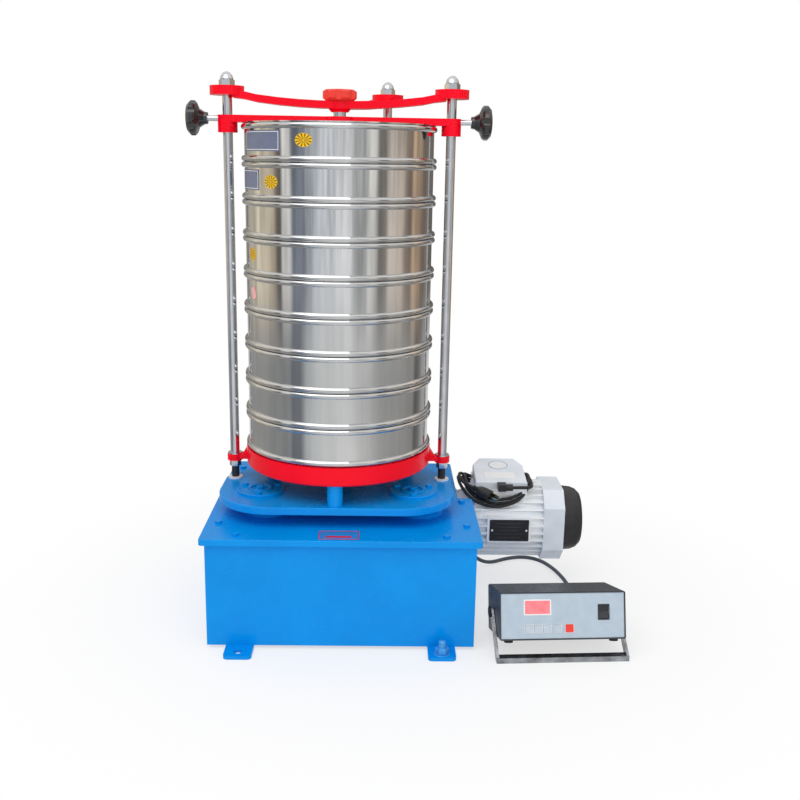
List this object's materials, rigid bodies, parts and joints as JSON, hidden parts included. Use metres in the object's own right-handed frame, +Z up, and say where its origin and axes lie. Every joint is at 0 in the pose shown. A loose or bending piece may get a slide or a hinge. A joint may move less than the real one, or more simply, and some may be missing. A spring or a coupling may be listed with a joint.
{
  "type": "sieve shaker",
  "caption": "Laboratory sieve shaker: blue base box with side motor, swinging plate and round tray, clamped stack of test sieves between posts, and a wired control box.",
  "frame": {"origin": "on the floor, in the middle of the rectangle of four foot holes", "axes": "+X to the right of the front, where the motor hangs; +Y to the back; +Z up along the sieve stack"},
  "size_m": [0.7093, 0.4742, 0.89],
  "materials": {
    "blue_paint": "gloss",
    "red_paint": "gloss",
    "chrome": "polished",
    "stainless": "mirror polished",
    "steel": "turned",
    "cast_iron": "as cast",
    "bronze": "turned",
    "motor_paint": "satin",
    "motor_casting": "painted",
    "black_plastic": "satin",
    "knob_plastic": "polished",
    "red_plastic": "polished",
    "white_nylon": "satin",
    "case_paint": "satin",
    "panel_film": "matt",
    "display_red": "clear",
    "bail_metal": "satin",
    "rubber": "matt",
    "cable_grey": "matt"
  },
  "bodies": {
    "base": {"base_box": "blue_paint", "deck_plate": "blue_paint", "deck_screws": "blue_paint", "deck_bearings": "blue_paint", "bearing_blocks": "cast_iron", "drive_belt": "rubber", "motor_flange": "motor_paint", "motor_body": "motor_casting", "motor_shroud": "motor_paint", "motor_fan_cover": "black_plastic", "terminal_box": "motor_paint", "terminal_box_lid": "motor_paint", "controller_case": "case_paint", "controller_panel": "panel_film", "display_window": "display_red", "controller_fittings": "rubber", "cable_glands": "black_plastic", "control_cable": "cable_grey", "mains_lead": "rubber", "mains_lead_coil": "rubber", "mains_plug": "black_plastic"},
    "left_crank": {"left_eccentric": "steel"},
    "right_crank": {"right_eccentric": "steel"},
    "drive": {"drive_shaft": "steel", "worm_wheel": "bronze"},
    "motor_rotor": {"motor_shaft": "steel", "cooling_fan": "black_plastic"},
    "cam": {"cam_shaft": "steel", "jolt_cam": "steel"},
    "jolt_lifter": {"jolt_rod": "steel"},
    "plate": {"swing_plate": "blue_paint", "plate_bearings": "steel", "bearing_covers": "blue_paint", "cover_screws": "steel", "guide_bushes": "white_nylon", "support_columns": "blue_paint"},
    "carrier": {"sieve_tray": "red_paint", "posts": "chrome", "guide_pins": "black_plastic", "post_nuts": "chrome", "upper_yoke": "red_paint", "bottom_pan": "stainless", "sieve_frames": "stainless", "sieve_meshes": "stainless", "sieve_lid": "stainless"},
    "clamp": {"clamp_yoke": "red_paint"},
    "clamp_screw": {"pressure_screw": "chrome", "screw_knob": "red_plastic"},
    "left_stud": {"left_lock_stud": "chrome"},
    "left_knob": {"left_lock_knob": "knob_plastic"},
    "right_stud": {"right_lock_stud": "chrome"},
    "right_knob": {"right_lock_knob": "knob_plastic"},
    "bail": {"bail_handle": "bail_metal"},
    "rocker": {"rocker_switch": "black_plastic"},
    "key_one": {"key_1": "panel_film"},
    "key_two": {"key_2": "panel_film"},
    "key_three": {"key_3": "panel_film"},
    "key_four": {"key_4": "panel_film"},
    "start": {"start_key": "red_plastic"}
  },
  "joints": [
    {"name": "left_crank_spin", "type": "hinge", "parent": "base", "child": "left_crank", "pos_m": [-0.127, -0.068, 0.19], "axis": [0, 0, 1], "continuous": true},
    {"name": "plate_swing", "type": "hinge", "parent": "left_crank", "child": "plate", "pos_m": [-0.1395, -0.068, 0.215], "axis": [0, 0, 1], "continuous": true},
    {"name": "right_crank_spin", "type": "hinge", "parent": "base", "child": "right_crank", "pos_m": [0.127, -0.068, 0.19], "axis": [0, 0, 1], "continuous": true},
    {"name": "drive_spin", "type": "hinge", "parent": "base", "child": "drive", "pos_m": [0.105, 0.036, 0.1], "axis": [0, 0, 1], "continuous": true},
    {"name": "motor_spin", "type": "hinge", "parent": "base", "child": "motor_rotor", "pos_m": [0.25, 0.087, 0.122], "axis": [1, 0, 0], "continuous": true},
    {"name": "cam_turn", "type": "hinge", "parent": "base", "child": "cam", "pos_m": [0, 0, 0.071], "axis": [0, -1, 0], "range_deg": [0, 330]},
    {"name": "lifter_rise", "type": "slide", "parent": "base", "child": "jolt_lifter", "axis": [0, 0, 1], "range_m": [0, 0.008]},
    {"name": "carrier_rise", "type": "slide", "parent": "plate", "child": "carrier", "axis": [0, 0, 1], "range_m": [0, 0.008]},
    {"name": "clamp_lift", "type": "slide", "parent": "carrier", "child": "clamp", "axis": [0, 0, 1], "range_m": [0, 0.006]},
    {"name": "clamp_screw_turn", "type": "hinge", "parent": "clamp", "child": "clamp_screw", "pos_m": [-0.0125, 0, 0.83], "axis": [0, 0, 1], "range_deg": [0, 864]},
    {"name": "left_stud_out", "type": "slide", "parent": "clamp", "child": "left_stud", "axis": [-1, 0, 0], "range_m": [0, 0.0025]},
    {"name": "left_knob_turn", "type": "hinge", "parent": "left_stud", "child": "left_knob", "pos_m": [-0.23, 0, 0.8185], "axis": [-1, 0, 0], "range_deg": [0, 720]},
    {"name": "right_stud_out", "type": "slide", "parent": "clamp", "child": "right_stud", "axis": [1, 0, 0], "range_m": [0, 0.0025]},
    {"name": "right_knob_turn", "type": "hinge", "parent": "right_stud", "child": "right_knob", "pos_m": [0.205, 0, 0.8185], "axis": [1, 0, 0], "range_deg": [0, 720]},
    {"name": "bail_fold", "type": "hinge", "parent": "base", "child": "bail", "pos_m": [0.34546, -0.16263, 0.0541], "axis": [-0.9984, -0.0558, 0], "range_deg": [0, 180]},
    {"name": "rocker_tip", "type": "hinge", "parent": "base", "child": "rocker", "pos_m": [0.41302, -0.20671, 0.07394], "axis": [0.9984, 0.0558, 0], "range_deg": [0, 16]},
    {"name": "key_1_press", "type": "slide", "parent": "base", "child": "key_one", "axis": [-0.0534, 0.9548, -0.2924], "range_m": [0, 0.001], "stiffness_N_per_m": 600, "springref_m": -0.001},
    {"name": "key_2_press", "type": "slide", "parent": "base", "child": "key_two", "axis": [-0.0534, 0.9548, -0.2924], "range_m": [0, 0.001], "stiffness_N_per_m": 600, "springref_m": -0.001},
    {"name": "key_3_press", "type": "slide", "parent": "base", "child": "key_three", "axis": [-0.0534, 0.9548, -0.2924], "range_m": [0, 0.001], "stiffness_N_per_m": 600, "springref_m": -0.001},
    {"name": "key_4_press", "type": "slide", "parent": "base", "child": "key_four", "axis": [-0.0534, 0.9548, -0.2924], "range_m": [0, 0.001], "stiffness_N_per_m": 600, "springref_m": -0.001},
    {"name": "start_key_press", "type": "slide", "parent": "base", "child": "start", "axis": [-0.0534, 0.9548, -0.2924], "range_m": [0, 0.001], "stiffness_N_per_m": 600, "springref_m": -0.001}
  ],
  "couplings": [
    {"joint": "plate_swing", "follows": "left_crank_spin", "ratio": -1},
    {"joint": "right_crank_spin", "follows": "left_crank_spin", "ratio": 1},
    {"joint": "drive_spin", "follows": "left_crank_spin", "ratio": 1},
    {"joint": "motor_spin", "follows": "left_crank_spin", "ratio": 12.667},
    {"joint": "lifter_rise", "follows": "carrier_rise", "ratio": 1},
    {"joint": "cam_turn", "follows": "carrier_rise", "rad_per_m": 719.95},
    {"joint": "clamp_screw_turn", "follows": "clamp_lift", "rad_per_m": 2513.3},
    {"joint": "left_knob_turn", "follows": "left_stud_out", "rad_per_m": 5026.5},
    {"joint": "right_knob_turn", "follows": "right_stud_out", "rad_per_m": 5026.5}
  ]
}
